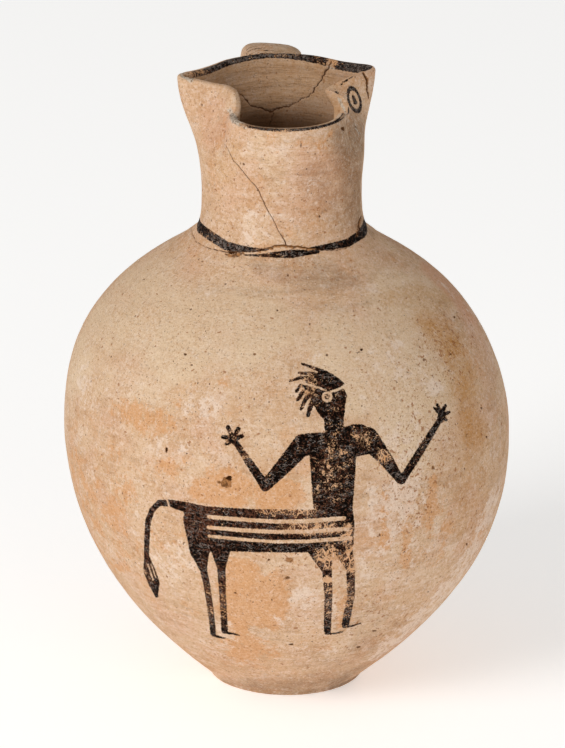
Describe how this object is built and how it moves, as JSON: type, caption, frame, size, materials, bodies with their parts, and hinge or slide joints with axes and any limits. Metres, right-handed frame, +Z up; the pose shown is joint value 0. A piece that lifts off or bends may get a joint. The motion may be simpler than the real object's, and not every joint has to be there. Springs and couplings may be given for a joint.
{
  "type": "painted pottery jug",
  "caption": "Worn ancient pottery jug with a round belly, upright neck, pinched trefoil mouth with a pouring lip, and a strap handle from rim to shoulder; holds and pours liquids.",
  "frame": {"origin": "middle of the foot's underside, on the surface that the jug stands on", "axes": "+Z up, -Y towards the pouring lip, +Y towards the strap handle, +X to the right of someone facing the lip"},
  "size_m": [0.1756, 0.1756, 0.2472],
  "materials": {
    "fired_clay": "matt unglazed buff clay with worn brown-black painted decoration, stains, cracks and pale plaster repairs"
  },
  "bodies": {
    "root": {"jug": "fired_clay"}
  },
  "joints": []
}
